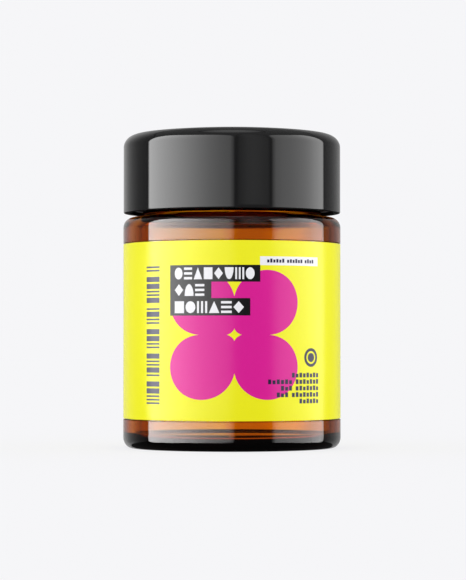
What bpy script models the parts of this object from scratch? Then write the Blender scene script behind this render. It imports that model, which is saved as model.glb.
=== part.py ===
"""Cosmetic cream jar: amber glass body, wrap label, two-piece screw cap, liner and sealing disc.

Metres, +Z up.  The origin is the centre of the ring that the jar stands on, and every round
piece turns about the Z axis.  The cap is screwed down, with its thread in mesh with the neck's.
"""
import math

import bmesh
import bpy
from mathutils import Matrix, Vector

MM = 0.001
SEGMENTS = 60                  # facets round every turned piece
SMOOTH_ANGLE = 35.0            # degrees; sharper edges than this stay sharp

# Glass jar, in millimetres
BODY_RADIUS = 30.0
BODY_WALL = 3.0
SHOULDER_TOP = 63.45           # flat land that the neck stands on
SHOULDER_CORNER = 2.8
SHOULDER_LAND = 5.4            # body's outside to the neck's outside
SHOULDER_THICK = 1.9           # glass under the shoulder's flat land
BASE_CORNER_WIDE = 2.4
BASE_CORNER_TALL = 3.0
BASE_THICK = 3.2               # standing plane to the inside floor, at its edge
FLOOR_CROWN = 0.4              # the inside floor is higher in the middle
INNER_CORNER = 1.2             # inside of the body, at the floor and under the shoulder
PUSH_UP = 1.0                  # height of the hollow under the base
RING_WIDTH = 4.6               # flat ring that the jar stands on
NECK_WALL = 3.25
NECK_HEIGHT = 13.4             # shoulder to rim
NECK_FILLET = 0.9
RIM_CORNER = 0.7
MOUTH_FILLET = 1.5             # from under the shoulder up into the mouth

# Label
LABEL_BOTTOM = 8.15
LABEL_BELOW_SHOULDER = 4.6     # label's top to where the shoulder's corner starts
LABEL_THICK = 0.2
LABEL_GAP = 0.15               # glue line between the label and the glass
LABEL_SEAM = 2.0               # open seam at the back
PANEL_DEPTH = 0.35             # the label lies in a shallow recess of the glass
PANEL_MARGIN = 0.15            # recess beyond the label, above and below
PANEL_SLOPE = 0.15

# Thread, shared by the neck and the cap insert
PITCH = 4.2
THREAD_DEPTH = 1.15
THREAD_ROOT_WIDTH = 2.2
THREAD_CREST_WIDTH = 0.8
THREAD_RADIAL_GAP = 0.4        # crest of one thread to the wall of the other piece
THREAD_AXIAL_GAP = 0.35        # between the flanks that press together
THREAD_BURY = 0.5              # how far a ridge's root is sunk in its wall
NECK_THREAD_TURNS = 1.25
NECK_THREAD_BELOW_RIM = 3.4    # top end of the neck's thread
INSERT_THREAD_TURNS = 1.0
INSERT_THREAD_RISE = 1.5       # lower end of the insert's thread above its mouth
THREAD_FADE = 6                # segments over which a ridge dies away at each end

# Cap
CAP_INSET = 0.05               # body's outside to the cap's outside
CAP_GAP = 1.2                  # shoulder to the skirt
CAP_HEADROOM = 4.55            # top of the insert to the middle of the shell's roof
SHELL_WALL = 1.8
SHELL_ROOF = 1.8
CAP_CORNER_WIDE = 4.0
CAP_CORNER_TALL = 3.5
DOME_RADIUS = 237.0
SKIRT_EDGE = 0.35              # small rounding of the skirt's outer edge
SHELL_INNER_CORNER = 2.4
RIB_RADIUS = 14.0              # stiffening ring under the roof
RIB_WALL = 1.2
RIB_GAP = 0.3                  # ring to the top of the insert
INSERT_GAP = 0.3               # shell to insert, all round
INSERT_RECESS = 0.8            # the insert's mouth is above the skirt's edge
INSERT_ROOF = 1.4
INSERT_CORNER = 1.6

# Liner and sealing disc
LINER_THICK = 1.5
LINER_SIDE_GAP = 0.4
STACK_GAP = 0.3                # between rim, disc, liner and insert
DISC_FLANGE_THICK = 0.8
DISC_EDGE_INSET = 0.25         # flange edge inside the neck's outside
DISC_EDGE_CHAMFER = 0.2
PLUG_DEPTH = 2.4               # below the rim
PLUG_WALL = 0.9
PLUG_GAP = 0.3
PLUG_CHAMFER = 0.5
DISC_PANEL_THICK = 0.8
TAB_RADIUS = 9.0
TAB_THICK = 0.8
TAB_LIFT = 0.5                 # finger gap under the tab
TAB_HINGE_WIDTH = 12.0
TAB_HINGE_THICK = 1.2

# Places that follow from the sizes
NECK_TOP = SHOULDER_TOP + NECK_HEIGHT
NECK_RADIUS = BODY_RADIUS - SHOULDER_LAND
CAP_RADIUS = BODY_RADIUS - CAP_INSET
BODY_BORE = BODY_RADIUS - BODY_WALL
MOUTH_RADIUS = NECK_RADIUS - NECK_WALL
PANEL_RADIUS = BODY_RADIUS - PANEL_DEPTH
LABEL_INSIDE = PANEL_RADIUS + LABEL_GAP
LABEL_TOP = SHOULDER_TOP - SHOULDER_CORNER - LABEL_BELOW_SHOULDER
DISC_TOP = NECK_TOP + STACK_GAP + DISC_FLANGE_THICK
LINER_BOTTOM = DISC_TOP + STACK_GAP
LINER_TOP = LINER_BOTTOM + LINER_THICK
INSERT_CEILING = LINER_TOP + STACK_GAP
INSERT_TOP = INSERT_CEILING + INSERT_ROOF
SKIRT_BOTTOM = SHOULDER_TOP + CAP_GAP
INSERT_BOTTOM = SKIRT_BOTTOM + INSERT_RECESS
CAP_TOP = INSERT_TOP + CAP_HEADROOM + SHELL_ROOF
SHELL_BORE = CAP_RADIUS - SHELL_WALL
INSERT_BORE = NECK_RADIUS + THREAD_DEPTH + THREAD_RADIAL_GAP
INSERT_RADIUS = SHELL_BORE - INSERT_GAP
NECK_THREAD_START = NECK_TOP - NECK_THREAD_BELOW_RIM - NECK_THREAD_TURNS * PITCH


def clear_scene():
    """Remove whatever the file holds, the startup cube included."""
    for item in list(bpy.data.objects):
        bpy.data.objects.remove(item, do_unlink=True)


def material(name, colour, roughness, transmission=0.0):
    """A Principled material; nothing on this jar is metal."""
    made = bpy.data.materials.new(name)
    made.use_nodes = True
    shader = made.node_tree.nodes["Principled BSDF"]
    shader.inputs["Base Color"].default_value = (*colour, 1.0)
    shader.inputs["Roughness"].default_value = roughness
    shader.inputs["Metallic"].default_value = 0.0
    shader.inputs["Transmission Weight"].default_value = transmission
    return made


def arc(centre, radii, start, end, steps):
    """Points of an elliptical arc in (radius, height), from one angle to another in degrees."""
    points = []
    for step in range(steps + 1):
        angle = math.radians(start + (end - start) * step / steps)
        points.append((centre[0] + radii[0] * math.cos(angle),
                       centre[1] + radii[1] * math.sin(angle)))
    return points


def add_object(name, mesh_data, surface=None):
    """Turn a bmesh in millimetres into a smooth shaded object in metres."""
    bmesh.ops.recalc_face_normals(mesh_data, faces=mesh_data.faces)
    mesh_data.transform(Matrix.Scale(MM, 4))
    mesh = bpy.data.meshes.new(name)
    mesh_data.to_mesh(mesh)
    mesh_data.free()
    mesh.shade_smooth()
    mesh.set_sharp_from_angle(angle=math.radians(SMOOTH_ANGLE))
    if surface:
        mesh.materials.append(surface)
    made = bpy.data.objects.new(name, mesh)
    bpy.context.collection.objects.link(made)
    return made


def turned(name, profile, surface):
    """Spin an outline that starts and ends on the axis into a closed solid."""
    work = bmesh.new()
    points = [work.verts.new((radius, 0.0, height)) for radius, height in profile]
    edges = [work.edges.new(pair) for pair in zip(points, points[1:])]
    bmesh.ops.spin(work, geom=points + edges, cent=(0, 0, 0), axis=(0, 0, 1), dvec=(0, 0, 0),
                   angle=math.tau, steps=SEGMENTS, use_merge=True, use_duplicate=False)
    bmesh.ops.remove_doubles(work, verts=work.verts, dist=1e-4)
    return add_object(name, work, surface)


def sleeve(name, inside, outside, bottom, top, seam, surface):
    """A sleeve open along a narrow seam at +Y, spun from its rectangular section."""
    work = bmesh.new()
    half_seam = seam / 2 / outside
    corners = [(inside, bottom), (outside, bottom), (outside, top), (inside, top)]
    section = work.faces.new([work.verts.new((radius, 0.0, height)) for radius, height in corners])
    turn_to_seam = Matrix.Rotation(math.pi / 2 + half_seam, 3, "Z")
    bmesh.ops.rotate(work, verts=work.verts, cent=(0, 0, 0), matrix=turn_to_seam)
    bmesh.ops.spin(work, geom=[section], cent=(0, 0, 0), axis=(0, 0, 1), dvec=(0, 0, 0),
                   angle=math.tau - 2 * half_seam, steps=SEGMENTS, use_merge=False,
                   use_duplicate=False)
    return add_object(name, work, surface)


def thread_ridge(name, wall, outward, start_height, turns, start_angle):
    """A right-hand thread ridge that dies away at both ends; outward is 1 outside, -1 inside."""
    work = bmesh.new()
    root = wall - outward * THREAD_BURY
    count = round(turns * SEGMENTS)
    rings = []
    for step in range(count + 1):
        angle = start_angle + math.tau * step / SEGMENTS
        height = start_height + PITCH * step / SEGMENTS
        rise = min(step, count - step, THREAD_FADE) / THREAD_FADE
        crest = wall + outward * (rise * (THREAD_DEPTH + THREAD_BURY / 2) - THREAD_BURY / 2)
        section = [(root, -THREAD_ROOT_WIDTH / 2), (crest, -THREAD_CREST_WIDTH / 2),
                   (crest, THREAD_CREST_WIDTH / 2), (root, THREAD_ROOT_WIDTH / 2)]
        rings.append([work.verts.new((radius * math.cos(angle), radius * math.sin(angle),
                                      height + offset)) for radius, offset in section])
    for near, far in zip(rings, rings[1:]):
        for side in range(4):
            after = (side + 1) % 4
            work.faces.new((near[side], near[after], far[after], far[side]))
    work.faces.new(rings[0])
    work.faces.new(rings[-1])
    return add_object(name, work)


def combine(host, tool):
    """Union a hidden tool into its host with a Boolean modifier."""
    union = host.modifiers.new("union_" + tool.name, "BOOLEAN")
    union.operation = "UNION"
    union.solver = "EXACT"
    union.object = tool
    tool.hide_render = True
    tool.display_type = "WIRE"


def under_base():
    """Outline of the push-up and the standing ring, from the axis outwards."""
    ring_outside = BODY_RADIUS - BASE_CORNER_WIDE
    ring_inside = ring_outside - RING_WIDTH
    return [(0.0, PUSH_UP), (ring_inside * 0.75, PUSH_UP * 0.75),
            (ring_inside - 1.0, PUSH_UP * 0.25), (ring_inside, 0.0)]


def outside_of_body():
    """Outline from the standing ring up to the shoulder's flat land."""
    corner = (BODY_RADIUS - BASE_CORNER_WIDE, BASE_CORNER_TALL)
    shoulder = (BODY_RADIUS - SHOULDER_CORNER, SHOULDER_TOP - SHOULDER_CORNER)
    low, high = LABEL_BOTTOM - PANEL_MARGIN, LABEL_TOP + PANEL_MARGIN
    outline = arc(corner, (BASE_CORNER_WIDE, BASE_CORNER_TALL), -90, 0, 5)
    outline += [(BODY_RADIUS, low - PANEL_SLOPE), (PANEL_RADIUS, low),
                (PANEL_RADIUS, high), (BODY_RADIUS, high + PANEL_SLOPE)]
    outline += arc(shoulder, (SHOULDER_CORNER, SHOULDER_CORNER), 0, 90, 5)
    return outline


def outside_of_neck():
    """Outline from the shoulder's flat land up to the rim and over it."""
    foot = (NECK_RADIUS + NECK_FILLET, SHOULDER_TOP + NECK_FILLET)
    outer = (NECK_RADIUS - RIM_CORNER, NECK_TOP - RIM_CORNER)
    inner = (MOUTH_RADIUS + RIM_CORNER, NECK_TOP - RIM_CORNER)
    outline = arc(foot, (NECK_FILLET, NECK_FILLET), 270, 180, 3)
    outline += arc(outer, (RIM_CORNER, RIM_CORNER), 0, 90, 3)
    outline += arc(inner, (RIM_CORNER, RIM_CORNER), 90, 180, 3)
    return outline


def inside_of_jar():
    """Outline from the mouth down to the middle of the floor."""
    under = SHOULDER_TOP - SHOULDER_THICK
    fillet = (MOUTH_RADIUS + MOUTH_FILLET, under + MOUTH_FILLET)
    shoulder = (BODY_BORE - INNER_CORNER, under - INNER_CORNER)
    floor = (BODY_BORE - INNER_CORNER, BASE_THICK + INNER_CORNER)
    outline = arc(fillet, (MOUTH_FILLET, MOUTH_FILLET), 180, 270, 3)
    outline += arc(shoulder, (INNER_CORNER, INNER_CORNER), 90, 0, 4)
    outline += arc(floor, (INNER_CORNER, INNER_CORNER), 0, -90, 4)
    outline.append((0.0, BASE_THICK + FLOOR_CROWN))
    return outline


def make_glass_jar(surface):
    outline = under_base() + outside_of_body() + outside_of_neck() + inside_of_jar()
    jar = turned("glass_jar", outline, surface)
    ridge = thread_ridge("neck_thread_tool", NECK_RADIUS, 1, NECK_THREAD_START,
                         NECK_THREAD_TURNS, 0.0)
    combine(jar, ridge)


def dome_drop(radius):
    """How far the domed top is below its middle at a given radius."""
    return DOME_RADIUS - math.sqrt(DOME_RADIUS ** 2 - radius ** 2)


def roof(outermost, lowered, steps):
    """Points of the dome, lowered by some thickness, from the axis to a radius."""
    return [(outermost * step / steps, CAP_TOP - lowered - dome_drop(outermost * step / steps))
            for step in range(steps + 1)]


def shell_outside():
    """Outline from the middle of the dome over the corner and down the skirt."""
    centre = CAP_RADIUS - CAP_CORNER_WIDE
    slope = centre / math.sqrt(DOME_RADIUS ** 2 - centre ** 2)
    blend = math.atan(slope * CAP_CORNER_WIDE / CAP_CORNER_TALL)
    join = centre + CAP_CORNER_WIDE * math.sin(blend)
    height = CAP_TOP - dome_drop(join) - CAP_CORNER_TALL * math.cos(blend)
    outline = roof(join, 0.0, 4)[:-1]
    outline += arc((centre, height), (CAP_CORNER_WIDE, CAP_CORNER_TALL),
                   90 - math.degrees(blend), 0, 8)
    edge = (CAP_RADIUS - SKIRT_EDGE, SKIRT_BOTTOM + SKIRT_EDGE)
    outline += arc(edge, (SKIRT_EDGE, SKIRT_EDGE), 0, -90, 3)
    return outline


def shell_inside():
    """Outline from the skirt's inner edge up to the roof, round the ring and in to the axis."""
    centre = SHELL_BORE - SHELL_INNER_CORNER
    corner_height = CAP_TOP - SHELL_ROOF - dome_drop(centre) - SHELL_INNER_CORNER
    ring_bottom = INSERT_TOP + RIB_GAP
    ring_outside = RIB_RADIUS + RIB_WALL
    outline = [(SHELL_BORE, SKIRT_BOTTOM)]
    corner = (SHELL_INNER_CORNER, SHELL_INNER_CORNER)
    outline += arc((centre, corner_height), corner, 0, 90, 4)
    outline += [(ring_outside, CAP_TOP - SHELL_ROOF - dome_drop(ring_outside)),
                (ring_outside, ring_bottom), (RIB_RADIUS, ring_bottom),
                (RIB_RADIUS, CAP_TOP - SHELL_ROOF - dome_drop(RIB_RADIUS)),
                (0.0, CAP_TOP - SHELL_ROOF)]
    return outline


def make_cap_shell(surface):
    turned("cap_shell", shell_outside() + shell_inside(), surface)


def thread_offset():
    """How far the insert's thread lies below the neck's, with their flanks almost touching."""
    flank = (THREAD_ROOT_WIDTH - THREAD_CREST_WIDTH) / 2 / THREAD_DEPTH
    widths = THREAD_ROOT_WIDTH - flank * (INSERT_BORE - NECK_RADIUS)
    return widths + THREAD_AXIAL_GAP


def make_cap_insert(surface):
    outline = [(0.0, INSERT_CEILING), (INSERT_BORE, INSERT_CEILING),
               (INSERT_BORE, INSERT_BOTTOM), (INSERT_RADIUS, INSERT_BOTTOM)]
    outline += arc((INSERT_RADIUS - INSERT_CORNER, INSERT_TOP - INSERT_CORNER),
                   (INSERT_CORNER, INSERT_CORNER), 0, 90, 3)
    outline.append((0.0, INSERT_TOP))
    insert = turned("cap_insert", outline, surface)
    start_height = INSERT_BOTTOM + INSERT_THREAD_RISE
    in_mesh = NECK_THREAD_START - thread_offset()
    start_angle = math.tau * (start_height - in_mesh) / PITCH
    ridge = thread_ridge("insert_thread_tool", INSERT_BORE, -1, start_height,
                         INSERT_THREAD_TURNS, start_angle)
    combine(insert, ridge)


def make_cap_liner(surface):
    radius = INSERT_BORE - LINER_SIDE_GAP
    outline = [(0.0, LINER_BOTTOM), (radius, LINER_BOTTOM), (radius, LINER_TOP), (0.0, LINER_TOP)]
    turned("cap_liner", outline, surface)


def half_disc_tab(panel_top):
    """The pull tab: a half disc held off the panel by a web along its straight edge."""
    work = bmesh.new()
    low, high = panel_top + TAB_LIFT, panel_top + TAB_LIFT + TAB_THICK
    rim = arc((0.0, 0.0), (TAB_RADIUS, TAB_RADIUS), 180, 360, 16)
    outline = [work.verts.new((x, y, low)) for x, y in rim]
    plate = work.faces.new(outline)
    lifted = bmesh.ops.extrude_face_region(work, geom=[plate])["geom"]
    top = [item for item in lifted if isinstance(item, bmesh.types.BMVert)]
    bmesh.ops.translate(work, verts=top, vec=Vector((0, 0, high - low)))
    return add_object("tab_tool", work)


def tab_hinge(panel_top):
    """The web that joins the tab to the panel, sunk a little into both."""
    work = bmesh.new()
    low = panel_top - DISC_PANEL_THICK / 2
    high = panel_top + TAB_LIFT + TAB_THICK / 2
    place = Matrix.Translation((0, -TAB_HINGE_THICK, (low + high) / 2))
    size = Matrix.Diagonal((TAB_HINGE_WIDTH, TAB_HINGE_THICK, high - low, 1))
    bmesh.ops.create_cube(work, size=1.0, matrix=place @ size)
    return add_object("tab_hinge_tool", work)


def make_sealing_disc(surface):
    plug = MOUTH_RADIUS - PLUG_GAP
    low, seat = NECK_TOP - PLUG_DEPTH, NECK_TOP + STACK_GAP
    edge = NECK_RADIUS - DISC_EDGE_INSET
    panel_top = low + DISC_PANEL_THICK
    outline = [(0.0, low), (plug - PLUG_CHAMFER, low), (plug, low + PLUG_CHAMFER), (plug, seat),
               (edge - DISC_EDGE_CHAMFER, seat), (edge, seat + DISC_EDGE_CHAMFER),
               (edge, DISC_TOP - DISC_EDGE_CHAMFER), (edge - DISC_EDGE_CHAMFER, DISC_TOP),
               (plug - PLUG_WALL, DISC_TOP), (plug - PLUG_WALL, panel_top), (0.0, panel_top)]
    disc = turned("sealing_disc", outline, surface)
    combine(disc, half_disc_tab(panel_top))
    combine(disc, tab_hinge(panel_top))


def main():
    clear_scene()
    make_glass_jar(material("amber_glass", (0.30, 0.07, 0.01), 0.02, transmission=1.0))
    sleeve("wrap_label", LABEL_INSIDE, LABEL_INSIDE + LABEL_THICK, LABEL_BOTTOM, LABEL_TOP,
           LABEL_SEAM, material("label_film", (0.86, 0.83, 0.02), 0.4))
    make_cap_shell(material("black_gloss", (0.01, 0.01, 0.01), 0.12))
    make_cap_insert(material("black_moulded", (0.02, 0.02, 0.02), 0.45))
    make_cap_liner(material("white_foam", (0.85, 0.85, 0.83), 0.8))
    make_sealing_disc(material("natural_pe", (0.80, 0.81, 0.80), 0.45))


main()
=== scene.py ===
"""Looks for the cosmetic cream jar: amber glass, printed wrap label, gloss black cap, liner and disc.

Lengths are in millimetres and meshes are scaled to metres. A material's bump distances, noise
scales and absorption density are per metre, as Blender takes them.
"""
import math

import bmesh
import bpy
from mathutils import Matrix, Vector


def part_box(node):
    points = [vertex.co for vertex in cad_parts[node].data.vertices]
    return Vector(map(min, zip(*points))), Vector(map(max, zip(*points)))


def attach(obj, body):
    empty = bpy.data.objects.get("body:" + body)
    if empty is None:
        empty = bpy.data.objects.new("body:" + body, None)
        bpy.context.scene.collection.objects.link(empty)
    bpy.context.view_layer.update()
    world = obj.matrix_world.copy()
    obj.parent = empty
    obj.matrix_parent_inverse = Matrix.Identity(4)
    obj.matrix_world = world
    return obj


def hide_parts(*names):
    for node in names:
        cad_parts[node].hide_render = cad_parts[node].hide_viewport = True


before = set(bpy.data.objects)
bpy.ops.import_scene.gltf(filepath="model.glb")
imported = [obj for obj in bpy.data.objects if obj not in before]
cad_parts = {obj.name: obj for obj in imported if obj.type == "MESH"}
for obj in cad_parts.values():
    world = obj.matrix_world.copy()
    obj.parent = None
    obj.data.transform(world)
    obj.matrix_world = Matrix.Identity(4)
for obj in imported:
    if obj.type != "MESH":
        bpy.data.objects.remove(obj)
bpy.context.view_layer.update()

MM = 0.001
TINY = 1e-6
FINE = 192                     # facets round a turned piece
TAU = math.tau


def cad_box(node):
    """Lowest and highest corner of a CAD node, in millimetres."""
    low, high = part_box(node)
    return Vector(low) / MM, Vector(high) / MM


JAR_HIGH = cad_box("glass_jar")[1]
LABEL_LOW, LABEL_HIGH = cad_box("wrap_label")
SHELL_LOW, SHELL_HIGH = cad_box("cap_shell")
INSERT_LOW, INSERT_HIGH = cad_box("cap_insert")
LINER_LOW, LINER_HIGH = cad_box("cap_liner")
DISC_LOW, DISC_HIGH = cad_box("sealing_disc")

# Glass
BODY_RADIUS = JAR_HIGH.x
NECK_TOP = JAR_HIGH.z
NECK_HEIGHT = 13.4
SHOULDER_TOP = NECK_TOP - NECK_HEIGHT
SHOULDER_LAND = 5.4            # width of the shoulder's flat
SHOULDER_CORNER = 2.8
WALL = 3.0
BASE_CORNER = (2.4, 3.0)       # across and up
BASE_HOLLOW = 150.0            # radius of the hollow's crown
PUSH_UP = 1.0                  # how high the base is hollowed
RING_WIDTH = 4.6               # flat ring that the jar stands on
FLOOR_TOP = 3.2
FLOOR_CROWN = 0.4              # how far the inside floor rises to its middle
FLOOR_CURVE = ((16.0, 0.5), (8.0, 0.9), (0.0, 1.0))    # radius and share of the crown
NECK_RADIUS = BODY_RADIUS - SHOULDER_LAND
NECK_WALL = 3.25
MOUTH_RADIUS = NECK_RADIUS - NECK_WALL
NECK_FILLET = 0.9
RIM_CORNER = 0.7
UNDER_SHOULDER = 1.9
INNER_CORNER = 1.2
INNER_FILLET = 1.5
RECESS_DEPTH = 0.3             # the glass is cut back under the label
RECESS_MARGIN = 0.15
RECESS_SLOPE = 0.15

# Thread
PITCH = 4.2
THREAD_DEPTH = 1.15
THREAD_ROOT_HALF = 1.1
THREAD_CREST_HALF = 0.4
THREAD_FADE = 0.1              # turns
NECK_THREAD_TURNS = 1.25
NECK_THREAD_BELOW_RIM = 3.4
NECK_THREAD_START = NECK_TOP - NECK_THREAD_BELOW_RIM - NECK_THREAD_TURNS * PITCH
INSERT_BORE = NECK_RADIUS + THREAD_DEPTH + 0.4

# Label
LABEL_RADIUS = LABEL_HIGH.x
LABEL_THICK = 0.2
LABEL_SEAM = 2.0
INK = 0.012                    # thickness of a print layer
INK_GAP = 0.004                # air between layers, so that none share a surface

# Cap, liner and disc
CAP_RADIUS = SHELL_HIGH.x
CAP_TOP = SHELL_HIGH.z
SHELL_WALL = 1.8
CAP_CORNER = (4.0, 3.5)        # across and up
DOME_RADIUS = 237.0
SKIRT_EDGE = 0.35
SHELL_INNER_CORNER = 2.4
STOP_RING = (14.0, 15.2)       # the ring in the shell's roof that meets the insert
CAP_GAP = 0.3                  # between neighbours inside the cap
SMALL_ROUND = 0.3              # edges of the liner and the disc


# ---------------------------------------------------------------- mesh helpers

SHARP_EDGE = 35.0              # degrees between faces that stay a hard edge


def arc(centre, radii, start, end, steps):
    """Points of an elliptical arc, from one angle to another in degrees."""
    points = []
    for step in range(steps + 1):
        angle = math.radians(start + (end - start) * step / steps)
        points.append((centre[0] + radii[0] * math.cos(angle),
                       centre[1] + radii[1] * math.sin(angle)))
    return points


def straight(start, end, spacing):
    """Points along a straight stretch of an outline, no further apart than the spacing."""
    steps = max(1, math.ceil(math.dist(start, end) / spacing))
    return [tuple(a + (b - a) * step / steps for a, b in zip(start, end))
            for step in range(steps + 1)]


def join_rings(work, rings, segments):
    """Faces between neighbouring rings, where a ring of one vertex is a tip."""
    for near, far in zip(rings, rings[1:]):
        for step in range(segments):
            after = (step + 1) % segments
            corners = [near[step % len(near)], near[after % len(near)],
                       far[after % len(far)], far[step % len(far)]]
            work.faces.new(list(dict.fromkeys(corners)))


def finish_mesh(name, work, surface):
    """A bmesh in millimetres becomes a shaded object in metres."""
    bmesh.ops.recalc_face_normals(work, faces=work.faces)
    work.transform(Matrix.Scale(MM, 4))
    mesh = bpy.data.meshes.new(name)
    work.to_mesh(mesh)
    work.free()
    mesh.shade_smooth()
    mesh.set_sharp_from_angle(angle=math.radians(SHARP_EDGE))
    mesh.materials.append(surface)
    made = bpy.data.objects.new(name, mesh)
    bpy.context.scene.collection.objects.link(made)
    return made


def lathe(name, outline, surface, reshape=None):
    """A closed body turned from an outline that starts and ends on the axis."""
    work = bmesh.new()
    rings = []
    for radius, height in outline:
        if radius < TINY:
            rings.append([work.verts.new((0.0, 0.0, height))])
            continue
        ring = []
        for step in range(FINE):
            angle = TAU * step / FINE
            reach = radius + (reshape(angle, radius, height) if reshape else 0.0)
            ring.append(work.verts.new((reach * math.cos(angle), reach * math.sin(angle), height)))
        rings.append(ring)
    join_rings(work, rings, FINE)
    return finish_mesh(name, work, surface)


def ease(share):
    """A share held between 0 and 1, leaving and arriving level."""
    share = min(1.0, max(0.0, share))
    return share * share * (3 - 2 * share)


def thread_rise(angle, height, start_height, start_angle, turns):
    """Height of a thread's rounded ridge above its wall, at a point on the wall.

    The ridge can pass the point on any of its whole turns, so each is tried.
    """
    rise = 0.0
    for turn in range(-2, 4):
        along = (angle - start_angle) / TAU + turn
        if not 0.0 <= along <= turns:
            continue
        away = abs(height - start_height - PITCH * along)
        slope = (THREAD_ROOT_HALF - away) / (THREAD_ROOT_HALF - THREAD_CREST_HALF)
        fade = min(along, turns - along) / THREAD_FADE
        rise = max(rise, THREAD_DEPTH * ease(slope) * ease(fade))
    return rise


# ---------------------------------------------------------------- materials

def new_material(name):
    made = bpy.data.materials.new(name)
    made.use_nodes = True
    tree = made.node_tree
    return made, tree, tree.nodes["Principled BSDF"]


def noise(tree, scale, detail=3.0, stretch=(1.0, 1.0, 1.0)):
    """Object-space noise, stretched along an axis where a stretch is below one."""
    place = tree.nodes.new("ShaderNodeTexCoord")
    mapping = tree.nodes.new("ShaderNodeMapping")
    mapping.inputs["Scale"].default_value = stretch
    texture = tree.nodes.new("ShaderNodeTexNoise")
    texture.inputs["Scale"].default_value = scale
    texture.inputs["Detail"].default_value = detail
    tree.links.new(place.outputs["Object"], mapping.inputs["Vector"])
    tree.links.new(mapping.outputs["Vector"], texture.inputs["Vector"])
    return texture.outputs["Fac"]


def spread(tree, value, low, high):
    """Map the middle part of a value, from 0.3 to 0.7, onto a range."""
    node = tree.nodes.new("ShaderNodeMapRange")
    node.inputs["From Min"].default_value = 0.3
    node.inputs["From Max"].default_value = 0.7
    node.inputs["To Min"].default_value = low
    node.inputs["To Max"].default_value = high
    tree.links.new(value, node.inputs["Value"])
    return node.outputs["Result"]


def tint(tree, value, dark, light):
    """Blend two colours by a value."""
    node = tree.nodes.new("ShaderNodeMix")
    node.data_type = "RGBA"
    node.inputs["A"].default_value = (*dark, 1.0)
    node.inputs["B"].default_value = (*light, 1.0)
    tree.links.new(value, node.inputs["Factor"])
    return node.outputs["Result"]


def bump(tree, value, shader, distance):
    node = tree.nodes.new("ShaderNodeBump")
    node.inputs["Distance"].default_value = distance
    tree.links.new(value, node.inputs["Height"])
    tree.links.new(node.outputs["Normal"], shader.inputs["Normal"])


def amber_glass():
    made, tree, shader = new_material("amber_glass")
    shader.inputs["Base Color"].default_value = (1.0, 1.0, 1.0, 1.0)
    shader.inputs["Transmission Weight"].default_value = 1.0
    shader.inputs["IOR"].default_value = 1.5
    rough = spread(tree, noise(tree, 90.0), 0.0, 0.02)
    tree.links.new(rough, shader.inputs["Roughness"])
    bump(tree, noise(tree, 60.0, 1.0, (1.0, 1.0, 0.5)), shader, 2e-5)
    absorb = tree.nodes.new("ShaderNodeVolumeAbsorption")
    absorb.inputs["Color"].default_value = (0.913, 0.729, 0.22, 1.0)
    absorb.inputs["Density"].default_value = 1500.0
    output = tree.nodes["Material Output"]
    tree.links.new(absorb.outputs["Volume"], output.inputs["Volume"])
    return made


def print_ink(name, colour):
    """Satin printed film: a faint mottle in the ink and a slightly uneven varnish."""
    made, tree, shader = new_material(name)
    mottle = noise(tree, 2500.0, 4.0)
    darker = tuple(channel * 0.97 for channel in colour)
    lighter = tuple(min(1.0, channel * 1.03) for channel in colour)
    tree.links.new(tint(tree, mottle, darker, lighter), shader.inputs["Base Color"])
    varnish = spread(tree, noise(tree, 900.0), 0.23, 0.25)
    tree.links.new(varnish, shader.inputs["Roughness"])
    bump(tree, noise(tree, 1800.0, 2.0), shader, 5e-7)
    shader.inputs["Specular IOR Level"].default_value = 0.3
    return made


def gloss_black():
    made, tree, shader = new_material("gloss_black")
    tone = tint(tree, noise(tree, 40.0), (0.0100, 0.0100, 0.0102), (0.0113, 0.0113, 0.0114))
    tree.links.new(tone, shader.inputs["Base Color"])
    tree.links.new(spread(tree, noise(tree, 120.0, 5.0), 0.02, 0.045), shader.inputs["Roughness"])
    bump(tree, noise(tree, 130.0, 1.0), shader, 3e-6)
    shader.inputs["Specular IOR Level"].default_value = 0.35
    return made


def moulded(name, dark, light, roughness, grain, depth):
    """Plain moulded plastic or foam with a fine grain, from a dark and a light grey or tint."""
    made, tree, shader = new_material(name)
    speckle = noise(tree, grain, 4.0)
    tree.links.new(tint(tree, speckle, dark, light), shader.inputs["Base Color"])
    rough = spread(tree, noise(tree, grain / 5), roughness - 0.05, roughness + 0.05)
    tree.links.new(rough, shader.inputs["Roughness"])
    bump(tree, speckle, shader, depth)
    return made


# ---------------------------------------------------------------- glass

def neck_shape(angle, radius, height):
    """The neck's thread stands out of its outer wall."""
    if radius < NECK_RADIUS - TINY or height < SHOULDER_TOP + NECK_FILLET:
        return 0.0
    return thread_rise(angle, height, NECK_THREAD_START, 0.0, NECK_THREAD_TURNS)


def glass_outside():
    """From the middle of the base to the foot of the neck."""
    ring_outside = BODY_RADIUS - BASE_CORNER[0]
    ring_inside = ring_outside - RING_WIDTH
    low, high = LABEL_LOW.z - RECESS_MARGIN, LABEL_HIGH.z + RECESS_MARGIN
    recess = BODY_RADIUS - RECESS_DEPTH
    outline = arc((0.0, PUSH_UP - BASE_HOLLOW), (BASE_HOLLOW, BASE_HOLLOW), 90, 84.5, 12)
    outline += [(ring_inside - 2.2, PUSH_UP * 0.42), (ring_inside - 1.0, PUSH_UP * 0.16),
                (ring_inside, 0.0), (ring_outside - 0.5, 0.0), (ring_outside, 0.0)]
    outline += arc((ring_outside, BASE_CORNER[1]), BASE_CORNER, -90, 0, 14)[1:]
    outline += straight(outline[-1], (BODY_RADIUS, low - RECESS_SLOPE), 0.5)[1:]
    outline += straight((recess, low), (recess, high), 2.0)
    corner = SHOULDER_TOP - SHOULDER_CORNER
    outline += straight((BODY_RADIUS, high + RECESS_SLOPE), (BODY_RADIUS, corner), 0.5)
    outline += arc((BODY_RADIUS - SHOULDER_CORNER, corner), (SHOULDER_CORNER, SHOULDER_CORNER),
                   0, 90, 24)[1:]
    outline += straight(outline[-1], (NECK_RADIUS + NECK_FILLET, SHOULDER_TOP), 0.5)[1:-1]
    return outline


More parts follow.
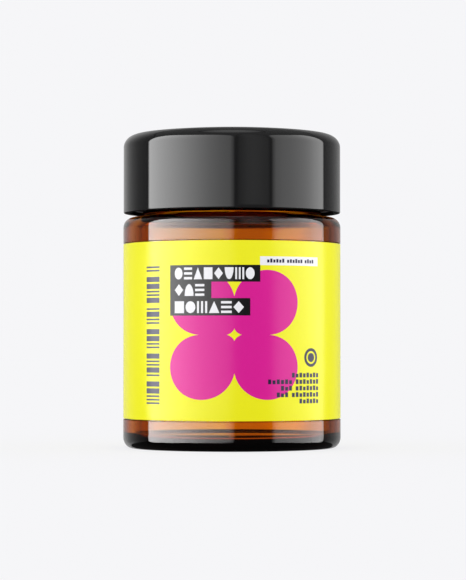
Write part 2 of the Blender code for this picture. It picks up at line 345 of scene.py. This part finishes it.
def glass_neck():
    """Up the outside of the neck and over its rim."""
    outline = arc((NECK_RADIUS + NECK_FILLET, SHOULDER_TOP + NECK_FILLET),
                  (NECK_FILLET, NECK_FILLET), 270, 180, 8)
    outline += straight(outline[-1], (NECK_RADIUS, NECK_TOP - RIM_CORNER), 0.2)[1:]
    outline += arc((NECK_RADIUS - RIM_CORNER, NECK_TOP - RIM_CORNER),
                   (RIM_CORNER, RIM_CORNER), 0, 90, 6)[1:]
    outline += arc((MOUTH_RADIUS + RIM_CORNER, NECK_TOP - RIM_CORNER),
                   (RIM_CORNER, RIM_CORNER), 90, 180, 6)
    return outline


def glass_inside():
    """Down the mouth, out under the shoulder, down the bore and in along the floor."""
    bore = BODY_RADIUS - WALL
    under = SHOULDER_TOP - UNDER_SHOULDER
    outline = arc((MOUTH_RADIUS + INNER_FILLET, under + INNER_FILLET),
                  (INNER_FILLET, INNER_FILLET), 180, 270, 8)
    outline += straight(outline[-1], (bore - INNER_CORNER, under), 0.5)[1:-1]
    outline += arc((bore - INNER_CORNER, under - INNER_CORNER), (INNER_CORNER, INNER_CORNER), 90, 0, 14)
    outline += straight(outline[-1], (bore, FLOOR_TOP + INNER_CORNER), 1.0)[1:]
    outline += arc((bore - INNER_CORNER, FLOOR_TOP + INNER_CORNER), (INNER_CORNER, INNER_CORNER),
                   0, -90, 14)[1:]
    outline.append((bore - INNER_CORNER - 0.5, FLOOR_TOP))
    outline += [(radius, FLOOR_TOP + FLOOR_CROWN * share) for radius, share in FLOOR_CURVE]
    return outline


def make_glass():
    outline = glass_outside() + glass_neck() + glass_inside()
    glass = lathe("amber_jar", outline, amber_glass(), reshape=neck_shape)
    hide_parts("glass_jar")
    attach(glass, "jar")


# ---------------------------------------------------------------- label

def wrap(work, radius):
    """Bend a flat sheet, x along the label and z up, y outwards, round the jar's front."""
    for vertex in work.verts:
        along, out, height = vertex.co
        angle = along / radius
        reach = radius + out
        vertex.co = (reach * math.sin(angle), -reach * math.cos(angle), height)


def make_film():
    """The film itself: a sleeve with slightly rounded edges and a seam at the back."""
    work = bmesh.new()
    half = LABEL_THICK / 2
    section = arc((-half, LABEL_HIGH.z - half), (half, half), 0, 180, 6)
    section += arc((-half, LABEL_LOW.z + half), (half, half), 180, 360, 6)
    reach = math.pi * LABEL_RADIUS - LABEL_SEAM / 2
    columns = 240
    loops = []
    for column in range(columns + 1):
        along = -reach + 2 * reach * column / columns
        loops.append([work.verts.new((along, out, height)) for out, height in section])
    for near, far in zip(loops, loops[1:]):
        for side in range(len(section)):
            after = (side + 1) % len(section)
            work.faces.new((near[side], near[after], far[after], far[side]))
    work.faces.new(loops[0])
    work.faces.new(loops[-1])
    wrap(work, LABEL_RADIUS)
    film = finish_mesh("label_film", work, print_ink("yellow_ink", (0.80, 0.78, 0.002)))
    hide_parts("wrap_label")
    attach(film, "jar")


def print_layer(name, shapes, layer, surface):
    """Closed outlines on the flat label, holes included, become one thin bent layer of ink.

    The flat outlines are cut into 1 mm columns first, so that they bend smoothly.
    """
    work = bmesh.new()
    edges = []
    for outline in shapes:
        loop = [work.verts.new((along, 0.0, height)) for along, height in outline]
        edges += [work.edges.new((a, b)) for a, b in zip(loop, loop[1:] + loop[:1])]
    bmesh.ops.triangle_fill(work, use_beauty=True, edges=edges, normal=(0, -1, 0))
    reach = max(abs(vertex.co.x) for vertex in work.verts)
    for step in range(-int(reach), int(reach) + 1):
        everything = work.verts[:] + work.edges[:] + work.faces[:]
        bmesh.ops.bisect_plane(work, geom=everything, dist=1e-5, plane_co=(step, 0, 0),
                               plane_no=(1, 0, 0))
    raised = bmesh.ops.extrude_face_region(work, geom=work.faces[:])["geom"]
    top = [item for item in raised if isinstance(item, bmesh.types.BMVert)]
    bmesh.ops.translate(work, verts=top, vec=(0, INK, 0))
    bmesh.ops.translate(work, verts=work.verts, vec=(0, INK_GAP + layer * (INK + INK_GAP), 0))
    wrap(work, LABEL_RADIUS)
    ink = finish_mesh(name, work, surface)
    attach(ink, "jar")


def box(left, right, bottom, top):
    """A rectangle."""
    return [(left, bottom), (right, bottom), (right, top), (left, top)]


def clover():
    """Outline of four touching round dots, and the small star left open between them."""
    centre, apart, radii, star_reach = (0.66, 30.98), (8.95, 8.6), (9.1, 8.62), (2.1, 1.75)
    side = math.degrees(math.acos(apart[0] / radii[0]))
    updown = math.degrees(math.acos(apart[1] / radii[1]))
    outline = []
    for right, up, start, end in ((1, 1, -90 + updown, 180 - side),
                                  (-1, 1, side, 270 - updown),
                                  (-1, -1, 90 + updown, 360 - side),
                                  (1, -1, 180 + side, 450 - updown)):
        middle = (centre[0] + right * apart[0], centre[1] + up * apart[1])
        outline += arc(middle, radii, start, end, 60)
    star = []
    for step in range(48):
        angle = TAU * step / 48
        star.append((centre[0] + star_reach[0] * math.cos(angle) ** 3,
                     centre[1] + star_reach[1] * math.sin(angle) ** 3))
    return [outline, star]


BLOCK_LEFT = -17.35
BLOCK_ROWS = ((49.5, 45.05, 7.6), (45.05, 40.7, -5.45), (40.7, 36.1, 4.9))    # top, bottom, right
MARK_INSET, MARK_GAP, MARK_HEIGHT = 1.45, 0.45, 3.15
MARK_ROWS = ((45.7, 2.8, ("disc", "bars", "peak", "square", "diamond", "bowl", "stripes", "disc")),
             (41.3, 3.0, ("diamond", "dome", "bars")),
             (36.75, 3.26, ("square", "disc", "stripes", "peak", "bars", "diamond")))


def title_blocks():
    """Three stacked dark blocks, as one stepped outline."""
    outline = [(BLOCK_LEFT, BLOCK_ROWS[-1][1]), (BLOCK_LEFT, BLOCK_ROWS[0][0])]
    for top, bottom, right in BLOCK_ROWS:
        outline += [(right, top), (right, bottom)]
    return [outline]


def shape(kind, left, bottom, wide, tall):
    """Outlines of one plain geometric mark that fills a box."""
    middle, half = left + wide / 2, (wide / 2, tall / 2)
    if kind == "disc":
        return [arc((middle, bottom + half[1]), half, 0, 345, 23)]
    if kind == "dome":
        return [arc((middle, bottom), (wide / 2, tall), 0, 180, 16)]
    if kind == "bowl":
        return [arc((middle, bottom + tall), (wide / 2, tall), 180, 360, 16)]
    if kind == "diamond":
        return [arc((middle, bottom + half[1]), half, 0, 270, 3)]
    if kind == "peak":
        return [[(left, bottom), (left + wide, bottom), (middle, bottom + tall)]]
    if kind == "bars":
        return [box(left, left + wide, bottom + tall * low, bottom + tall * (low + 0.2))
                for low in (0.0, 0.4, 0.8)]
    if kind == "stripes":
        return [box(left + wide * low, left + wide * (low + 0.2), bottom, bottom + tall)
                for low in (0.0, 0.4, 0.8)]
    return [box(left, left + wide, bottom, bottom + tall)]


def title_marks():
    """Three rows of plain shapes inside the dark blocks."""
    shapes = []
    for bottom, pitch, kinds in MARK_ROWS:
        for index, kind in enumerate(kinds):
            left = BLOCK_LEFT + MARK_INSET + index * pitch
            shapes += shape(kind, left, bottom, pitch - MARK_GAP, MARK_HEIGHT)
    return shapes


def tick_row(words, left, bottom, wide, gap, heights):
    """A line of short upright bars in groups, of alternating heights, and where the line ends."""
    shapes, at, index = [], left, 0
    for word in words:
        for _ in range(word):
            shapes.append(box(at, at + wide, bottom, bottom + heights[index % len(heights)]))
            at += wide + gap
            index += 1
        at += wide
    return shapes, at - wide - gap


def ladder_bars():
    """Thin and thick bars stacked up the label's left, in a made-up repeating rhythm."""
    left, right, top, module = -26.0, -21.03, 49.35, 0.4665
    rhythm = (1, 1, 3, 3, 1, 1, 3, 1, 3, 1, 1, 3, 3, 1, 1, 3, 1, 1, 3, 1, 3, 3, 1, 1, 1)
    wide_gaps = (1, 6, 10, 14, 19)
    shapes, at = [], top
    for index, bar in enumerate(rhythm):
        shapes.append(box(left, right, at - bar * module, at))
        at -= (bar + (3 if index in wide_gaps else 1)) * module
    return shapes


def small_print():
    """Five short lines set to a right margin, as plain upright bars."""
    right, top, pitch, wide, gap, tall = 26.4, 20.9, 1.73, 0.88, 0.36, 1.25
    shapes = []
    for line, words in enumerate(((8,), (6, 7), (3, 7), (3, 8), (6,))):
        ticks, end = tick_row(words, 0.0, top - line * pitch - tall, wide, gap, (tall, 1.0, tall, 1.1))
        shapes += [[(along + right - end, height) for along, height in outline] for outline in ticks]
    return shapes


def tag_marks():
    """One line of plain upright bars on the small white tag."""
    left, bottom, wide, gap = 9.5, 50.15, 0.62, 0.25
    return tick_row((6, 6, 4), left, bottom, wide, gap, (0.8, 1.05, 0.8, 0.95))[0]


def emblem():
    """A plain disc with a ring cut into it."""
    centre, sides = (23.5, 24.95), 48
    return [arc(centre, (radius, radius), 0, 360 - 360 / sides, sides - 1)
            for radius in (2.5, 1.72, 1.22)]


TAG = (7.55, 26.2, 49.45, 51.8)    # left, right, bottom, top


def make_print():
    """Every print layer, from the one next to the film outwards."""
    black = print_ink("black_ink", (0.004, 0.004, 0.005))
    navy = print_ink("navy_ink", (0.006, 0.005, 0.035))
    white = print_ink("white_ink", (0.80, 0.80, 0.82))
    magenta = print_ink("magenta_ink", (0.64, 0.003, 0.26))
    print_layer("label_dots", clover(), 0, magenta)
    print_layer("label_tag", [box(*TAG)], 0, white)
    print_layer("label_bars", ladder_bars(), 0, navy)
    print_layer("label_emblem", emblem(), 0, navy)
    print_layer("label_title_blocks", title_blocks(), 1, black)
    print_layer("label_tag_marks", tag_marks(), 1, navy)
    print_layer("label_small_print", small_print(), 1, navy)
    print_layer("label_title_marks", title_marks(), 2, white)


# ---------------------------------------------------------------- cap

def dome_drop(radius):
    """How far the dome has fallen at a radius from the axis."""
    return DOME_RADIUS - math.sqrt(DOME_RADIUS ** 2 - radius ** 2)


def shell_outside():
    """From the middle of the dome, round the corner and down to the foot of the skirt."""
    centre = CAP_RADIUS - CAP_CORNER[0]
    slope = centre / math.sqrt(DOME_RADIUS ** 2 - centre ** 2)
    blend = math.atan(slope * CAP_CORNER[0] / CAP_CORNER[1])
    join = centre + CAP_CORNER[0] * math.sin(blend)
    height = CAP_TOP - dome_drop(join) - CAP_CORNER[1] * math.cos(blend)
    steps = 16
    outline = [(join * step / steps, CAP_TOP - dome_drop(join * step / steps)) for step in range(steps)]
    outline += arc((centre, height), CAP_CORNER, 90 - math.degrees(blend), 0, 24)
    foot = SHELL_LOW.z + SKIRT_EDGE
    outline += straight(outline[-1], (CAP_RADIUS, foot), 0.5)[1:]
    outline += arc((CAP_RADIUS - SKIRT_EDGE, foot), (SKIRT_EDGE, SKIRT_EDGE), 0, -90, 6)[1:]
    return outline


def shell_inside():
    """Up the bore, round its corner and along the roof, with the stop ring that hangs from it."""
    bore = CAP_RADIUS - SHELL_WALL
    roof = CAP_TOP - SHELL_WALL
    corner = bore - SHELL_INNER_CORNER
    outline = [(bore, SHELL_LOW.z)]
    outline += arc((corner, roof - dome_drop(corner) - SHELL_INNER_CORNER),
                   (SHELL_INNER_CORNER, SHELL_INNER_CORNER), 0, 90, 8)
    near, far = STOP_RING
    ring_bottom = INSERT_HIGH.z + CAP_GAP
    outline += [(far, roof - dome_drop(far)), (far, ring_bottom), (near, ring_bottom),
                (near, roof - dome_drop(near)), (0.0, roof)]
    return outline


def matte_inside():
    made = moulded("matte_inside", (0.004, 0.004, 0.004), (0.008, 0.008, 0.008), 0.7, 900.0, 4e-6)
    made.node_tree.nodes["Principled BSDF"].inputs["Specular IOR Level"].default_value = 0.1
    return made


def make_shell():
    """The gloss shell, with the faces that look down or towards the axis left matt."""
    shell = lathe("cap_gloss_shell", shell_outside() + shell_inside(), gloss_black())
    shell.data.materials.append(matte_inside())
    for polygon in shell.data.polygons:
        outwards = polygon.center.x * polygon.normal.x + polygon.center.y * polygon.normal.y
        if polygon.normal.z < -0.7 or outwards < -TINY:
            polygon.material_index = 1
    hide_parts("cap_shell")
    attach(shell, "cap")


def insert_shape(angle, radius, height):
    """The insert's thread stands in from its bore."""
    if abs(radius - INSERT_BORE) > TINY:
        return 0.0
    start_height = INSERT_LOW.z + 1.5
    flank = (THREAD_ROOT_HALF - THREAD_CREST_HALF) / THREAD_DEPTH
    clearance = 0.35
    below = 2 * THREAD_ROOT_HALF - flank * (INSERT_BORE - NECK_RADIUS) + clearance
    start_angle = TAU * (start_height - NECK_THREAD_START + below) / PITCH
    return -thread_rise(angle, height, start_height, start_angle, 1.0)


def make_insert():
    ceiling, foot, outside = LINER_HIGH.z + CAP_GAP, INSERT_LOW.z, INSERT_HIGH.x
    corner, roof_bevel, foot_bevel = 1.6, 0.4, 0.2
    outline = [(0.0, ceiling), (INSERT_BORE - roof_bevel, ceiling)]
    outline += straight((INSERT_BORE, ceiling - roof_bevel), (INSERT_BORE, foot + foot_bevel), 0.2)
    outline += [(INSERT_BORE + foot_bevel, foot), (outside - foot_bevel, foot), (outside, foot + foot_bevel)]
    outline += arc((outside - corner, INSERT_HIGH.z - corner), (corner, corner), 0, 90, 8)
    outline.append((0.0, INSERT_HIGH.z))
    black = moulded("moulded_black", (0.010, 0.010, 0.010), (0.018, 0.018, 0.018), 0.42, 900.0, 4e-6)
    insert = lathe("cap_threaded_cup", outline, black, reshape=insert_shape)
    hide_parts("cap_insert")
    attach(insert, "cap")


def rounded_edge(radius, low, high):
    """The outer edge of a flat round piece, from its underside up to its top."""
    corner = (SMALL_ROUND, SMALL_ROUND)
    middle = radius - SMALL_ROUND
    return (arc((middle, low + SMALL_ROUND), corner, -90, 0, 4)
            + arc((middle, high - SMALL_ROUND), corner, 0, 90, 4))


def make_liner():
    low, high, radius = LINER_LOW.z, LINER_HIGH.z, LINER_HIGH.x
    press = 0.06               # the rim leaves a faint ring in the foam
    press_inside, press_outside, press_slope = 21.4, 24.2, 0.8
    outline = [(0.0, low), (press_inside - press_slope, low), (press_inside, low + press),
               (press_outside, low + press), (press_outside + press_slope, low)]
    outline += rounded_edge(radius, low, high)
    outline.append((0.0, high))
    foam = moulded("white_foam", (0.80, 0.80, 0.78), (0.90, 0.90, 0.88), 0.8, 1500.0, 3e-5)
    liner = lathe("liner_wad", outline, foam)
    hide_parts("cap_liner")
    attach(liner, "liner")


# ---------------------------------------------------------------- sealing disc

def make_disc():
    """A shallow plug with a flange that seats on the rim, and its pull tab."""
    low, high, edge = DISC_LOW.z, DISC_HIGH.z, DISC_HIGH.x
    plug, seat = MOUTH_RADIUS - CAP_GAP, NECK_TOP + CAP_GAP
    wall, panel_thick = 0.9, 0.8
    panel = low + panel_thick
    inner = plug - wall
    outline = [(0.0, low), (plug - 0.5, low), (plug - 0.1, low + 0.3), (plug, low + 0.6),
               (plug, seat - 0.15), (plug + 0.15, seat)]
    outline += rounded_edge(edge, seat, high)
    outline += [(inner + 0.15, high), (inner, high - 0.15), (inner, panel + 0.4),
                (inner - 0.1, panel + 0.1), (inner - 0.4, panel), (0.0, panel)]
    pe = moulded("natural_pe", (0.74, 0.75, 0.74), (0.82, 0.83, 0.82), 0.42, 700.0, 4e-6)
    shader = pe.node_tree.nodes["Principled BSDF"]
    shader.inputs["Subsurface Weight"].default_value = 0.3
    shader.inputs["Subsurface Scale"].default_value = 0.001
    disc = lathe("seal_disc", outline, pe)
    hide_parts("sealing_disc")
    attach(disc, "disc")
    make_tab(panel, pe)


def make_tab(panel, surface):
    """Half-round pull tab on its web, standing clear of the panel."""
    tab_radius, tab_thick, lift = 9.0, 0.8, 0.5
    work = bmesh.new()
    outline = arc((0.0, 0.0), (tab_radius, tab_radius), 180, 360, 48)
    face = work.faces.new([work.verts.new((x, y, panel + lift)) for x, y in outline])
    raised = bmesh.ops.extrude_face_region(work, geom=[face])["geom"]
    top = [item for item in raised if isinstance(item, bmesh.types.BMVert)]
    bmesh.ops.translate(work, verts=top, vec=(0, 0, tab_thick))
    tab = finish_mesh("disc_pull_tab", work, surface)
    soften(tab, 0.2)
    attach(tab, "disc")
    web_size = Vector((12.0, 1.2, 0.46))
    web_place = Matrix.Translation((0, -web_size.y, panel + lift / 2))
    work = bmesh.new()
    bmesh.ops.create_cube(work, size=1.0, matrix=web_place @ Matrix.Diagonal((*web_size, 1.0)))
    web = finish_mesh("disc_tab_web", work, surface)
    soften(web, 0.08)
    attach(web, "disc")


def soften(piece, width):
    """Round a piece's sharp edges."""
    edge = piece.modifiers.new("soft_edges", "BEVEL")
    edge.width = width * MM
    edge.segments = 3
    edge.limit_method = "ANGLE"


# ---------------------------------------------------------------- studio

BACKDROP = (0.921, 0.921, 0.939)
FLOOR_SIZE = 4000.0
FLOOR_DROP = 0.05              # below the jar's foot, so that they don't share a surface


def floor():
    """A floor with a glow of its own, nearly as bright as the backdrop, that takes a faint shadow."""
    work = bmesh.new()
    bmesh.ops.create_grid(work, x_segments=1, y_segments=1, size=FLOOR_SIZE)
    made, _, shader = new_material("pale_floor")
    shader.inputs["Base Color"].default_value = (0.12, 0.12, 0.12, 1.0)
    shader.inputs["Roughness"].default_value = 1.0
    shader.inputs["Specular IOR Level"].default_value = 0.0
    shader.inputs["Emission Color"].default_value = (*BACKDROP, 1.0)
    shader.inputs["Emission Strength"].default_value = 0.85
    plane = finish_mesh("studio_floor", work, made)
    plane.location.z = -FLOOR_DROP * MM
    plane.visible_glossy = False
    plane.visible_transmission = False


PANEL_RANGE = 800.0            # from the jar's axis to a curved panel
BACK_RANGE = 850.0             # to the back panel, which stands behind the rear card
TALL = ((-300.0, 0.0), (-270.0, 1.0), (850.0, 1.0), (940.0, 0.0))     # height and share of glow


def between(stops, at):
    """Straight-line value between stops, each a place followed by its values."""
    for near, far in zip(stops, stops[1:]):
        if at <= far[0]:
            share = max(0.0, at - near[0]) / (far[0] - near[0])
            return [a + (b - a) * share for a, b in zip(near[1:], far[1:])]
    return list(stops[-1][1:])


def evenly(azimuths, glows):
    """Stops at equal steps from one azimuth to another."""
    step = (azimuths[1] - azimuths[0]) / (len(glows) - 1)
    return [(azimuths[0] + step * index, glow) for index, glow in enumerate(glows)]


def curved_panel(name, stops, levels=TALL, fade=3.0, through=False, away=PANEL_RANGE):
    """A curved card of light with rounded corners and soft edges.

    A stop is an azimuth in degrees, 0 being the front, a glow and, if wanted, a share of green.
    Fade is the degrees over which each end grows dark. A card with through set is seen only
    through the glass; other cards are seen only in mirror reflections.
    """
    work = bmesh.new()
    glow_layer = work.verts.layers.float_color.new("glow")
    start, end = stops[0][0], stops[-1][0]
    columns_per_degree = 4
    columns = math.ceil((end - start) * columns_per_degree)
    rows = []
    for column in range(columns + 1):
        share = column / columns
        degrees = start + (end - start) * share
        glow, green = (between(stops, degrees) + [1.0])[:2]
        glow *= min(1.0, (degrees - start) / fade, (end - degrees) / fade)
        rounded = (1.0 - (2 * share - 1) ** 4) ** 0.25
        azimuth = math.radians(degrees)
        line = []
        for height, shine in levels:
            level = max(height * rounded, levels[0][0])
            vertex = work.verts.new((away * math.sin(azimuth), -away * math.cos(azimuth), level))
            vertex[glow_layer] = (glow * shine, glow * shine * green, glow * shine, 1.0)
            line.append(vertex)
        rows.append(line)
    for near, far in zip(rows, rows[1:]):
        for low in range(len(levels) - 1):
            work.faces.new((near[low], near[low + 1], far[low + 1], far[low]))
    make_card(name, work, through)


def make_card(name, work, through):
    """A card that lights nothing and casts no shadow: it is only seen, mirrored or through glass."""
    panel = finish_mesh(name, work, card_light(name + "_light", through))
    panel.visible_camera = False
    panel.visible_diffuse = False
    panel.visible_transmission = through
    panel.visible_shadow = False


def card_light(name, through):
    """Light from a card's own glow, only for rays that came through glass, or only for others."""
    made = bpy.data.materials.new(name)
    made.use_nodes = True
    tree = made.node_tree
    tree.nodes.clear()
    output = tree.nodes.new("ShaderNodeOutputMaterial")
    light = tree.nodes.new("ShaderNodeEmission")
    glow = tree.nodes.new("ShaderNodeAttribute")
    glow.attribute_name = "glow"
    rays = tree.nodes.new("ShaderNodeLightPath")
    clear = tree.nodes.new("ShaderNodeBsdfTransparent")
    choose = tree.nodes.new("ShaderNodeMixShader")
    tree.links.new(glow.outputs["Color"], light.inputs["Color"])
    tree.links.new(rays.outputs["Is Transmission Ray"], choose.inputs["Fac"])
    tree.links.new(light.outputs["Emission"], choose.inputs[2 if through else 1])
    tree.links.new(clear.outputs["BSDF"], choose.inputs[1 if through else 2])
    tree.links.new(choose.outputs["Shader"], output.inputs["Surface"])
    return made


def overhead_card():
    """A round card above and slightly in front, brightest at its middle."""
    centre, middle_glow, segments = Vector((0.0, -110.0, 1100.0)), 1.5, 48
    work = bmesh.new()
    glow_layer = work.verts.layers.float_color.new("glow")
    middle = work.verts.new(centre)
    middle[glow_layer] = (middle_glow, middle_glow, middle_glow, 1.0)
    rings = [[middle]]
    for radius, glow in ((150.0, 1.4), (290.0, 0.8), (380.0, 0.0)):
        ring = []
        for step in range(segments):
            angle = TAU * step / segments
            out = Vector((radius * math.cos(angle), radius * math.sin(angle), 0.0))
            vertex = work.verts.new(centre + out)
            vertex[glow_layer] = (glow, glow, glow, 1.0)
            ring.append(vertex)
        rings.append(ring)
    join_rings(work, rings, segments)
    make_card("overhead_card", work, through=False)


def studio_light():
    """Soft boxes to both sides, faint glows in front and behind, and a card seen through the glass."""
    left = evenly((-97.8, -2.0), (9.2, 9.3, 8.9, 8.1, 7.0, 5.7, 4.45, 3.35, 2.55, 2.0))
    curved_panel("left_soft_box", left + [(4.0, 0.0)], fade=2.5)
    right = evenly((46.4, 112.3), (2.1, 2.55, 2.75, 3.05, 3.35, 3.75, 4.25, 4.3, 3.8))
    curved_panel("right_soft_box", [(40.4, 0.0)] + right, fade=2.5)
    front = evenly((4.1, 40.3), (0.05, 0.3, 0.5, 0.55, 0.48, 0.36, 0.28))
    curved_panel("front_glow", front, levels=((107.0, 0.0), (110.0, 1.0), (990.0, 1.0), (1100.0, 0.0)))
    back = ((113.0, 0.16), (127.0, 0.28), (140.0, 0.4), (153.0, 0.45), (167.0, 0.42), (180.0, 0.3),
            (196.0, 0.6), (212.0, 0.62), (229.0, 0.42), (245.0, 0.2), (261.0, 0.1))
    curved_panel("back_glow", back, fade=0.1, away=BACK_RANGE)
    rear = ((117.0, 0.02, 1.0), (130.0, 0.12, 1.2), (143.0, 0.45, 1.6), (152.0, 0.3, 1.1),
            (157.0, 0.45, 1.5), (162.0, 0.65, 2.1), (170.0, 0.85, 2.1), (173.0, 1.25, 2.0),
            (175.5, 1.2, 1.9), (176.6, 0.95, 1.1), (177.5, 0.85, 1.0), (179.5, 0.82, 1.0),
            (180.0, 1.0, 1.3), (180.8, 1.2, 2.0), (183.6, 1.05, 2.0), (186.0, 0.85, 2.4),
            (191.0, 0.67, 2.5), (193.4, 0.38, 1.1), (197.0, 0.36, 1.1), (204.7, 0.72, 1.5),
            (215.0, 0.95, 2.0), (225.0, 0.9, 2.0), (232.0, 0.5, 1.5), (243.0, 0.09, 1.0))
    low_and_tall = ((-120.0, 0.0), (-108.0, 1.3), (0.0, 1.28), (90.0, 1.0), (990.0, 1.0), (1100.0, 0.0))
    curved_panel("rear_card", rear, levels=low_and_tall, through=True)
    overhead_card()


def maths(tree, operation, *values):
    """A maths node whose inputs are sockets or plain numbers."""
    node = tree.nodes.new("ShaderNodeMath")
    node.operation = operation
    for socket, value in zip(node.inputs, values):
        if isinstance(value, bpy.types.NodeSocket):
            tree.links.new(value, socket)
        else:
            socket.default_value = value
    return node.outputs["Value"]


def colour_ramp(tree, value, stops):
    """Colours by a value, through stops that are each a place and a colour."""
    node = tree.nodes.new("ShaderNodeValToRGB")
    elements = node.color_ramp.elements
    while len(elements) < len(stops):
        elements.new(1.0)
    for element, (place, colour) in zip(elements, stops):
        element.position = place
        element.color = (*colour, 1.0)
    tree.links.new(value, node.inputs["Fac"])
    return node.outputs["Color"]


def bright_surroundings(tree, across, back, level):
    """The backdrop's white, stronger at both sides, with black ground behind the jar only."""
    square = maths(tree, "MULTIPLY", across, across)
    fourth = maths(tree, "MULTIPLY", square, square)
    ground = colour_ramp(tree, level, ((0.46, (0.0, 0.0, 0.0)), (0.49, BACKDROP)))
    below = tree.nodes.new("ShaderNodeMix")
    below.data_type = "RGBA"
    below.inputs["A"].default_value = (*BACKDROP, 1.0)
    tree.links.new(ground, below.inputs["B"])
    tree.links.new(spread(tree, back, 0.0, 1.0), below.inputs["Factor"])
    bright = tree.nodes.new("ShaderNodeBackground")
    tree.links.new(below.outputs["Result"], bright.inputs["Color"])
    tree.links.new(maths(tree, "MULTIPLY_ADD", fourth, 2.0, 1.0), bright.inputs["Strength"])
    return bright.outputs["Background"]


def dim_surroundings(tree, level):
    """Dark greys for mirror reflections, so that little but the cards shows in them."""
    greys = ((0.0, 0.03), (0.48, 0.05), (0.52, 0.08), (1.0, 0.35))
    stops = [(place, (grey, grey, grey)) for place, grey in greys]
    dim = tree.nodes.new("ShaderNodeBackground")
    tree.links.new(colour_ramp(tree, level, stops), dim.inputs["Color"])
    return dim.outputs["Background"]


def studio_world():
    """Bright surroundings for everything but mirror reflections, which see dim ones."""
    world = bpy.data.worlds.new("studio")
    bpy.context.scene.world = world
    world.use_nodes = True
    world.cycles.sampling_method = "NONE"
    tree = world.node_tree
    tree.nodes.clear()
    place = tree.nodes.new("ShaderNodeTexCoord")
    split = tree.nodes.new("ShaderNodeSeparateXYZ")
    tree.links.new(place.outputs["Generated"], split.inputs["Vector"])
    level = maths(tree, "MULTIPLY_ADD", split.outputs["Z"], 0.5, 0.5)
    rays = tree.nodes.new("ShaderNodeLightPath")
    mirrored = maths(tree, "SUBTRACT", rays.outputs["Is Glossy Ray"], rays.outputs["Is Transmission Ray"])
    mirrored.node.use_clamp = True
    mix = tree.nodes.new("ShaderNodeMixShader")
    tree.links.new(mirrored, mix.inputs["Fac"])
    bright = bright_surroundings(tree, split.outputs["X"], split.outputs["Y"], level)
    tree.links.new(bright, mix.inputs[1])
    tree.links.new(dim_surroundings(tree, level), mix.inputs[2])
    output = tree.nodes.new("ShaderNodeOutputWorld")
    tree.links.new(mix.outputs["Shader"], output.inputs["Surface"])


def camera():
    """Low and far away, looking very slightly up at the jar's front."""
    aside, away, height, tilt = 0.3, 22.1 * BODY_RADIUS, 0.945 * BODY_RADIUS, 1.31
    data = bpy.data.cameras.new("camera")
    data.lens = 148.75
    data.sensor_width = 36.0
    data.clip_start = 0.05
    data.clip_end = 20.0
    made = bpy.data.objects.new("camera", data)
    bpy.context.scene.collection.objects.link(made)
    made.location = Vector((aside, -away, height)) * MM
    made.rotation_euler = (math.radians(90 + tilt), 0.0, 0.0)
    bpy.context.scene.camera = made


def render_look():
    """Plain colour, and bounces enough to cross every wall of the glass."""
    scene = bpy.context.scene
    scene.view_settings.view_transform = "Standard"
    scene.cycles.max_bounces = 24
    scene.cycles.transmission_bounces = 24
    scene.cycles.glossy_bounces = 8


make_glass()
make_film()
make_print()
make_shell()
make_insert()
make_liner()
make_disc()
floor()
studio_light()
studio_world()
camera()
render_look()
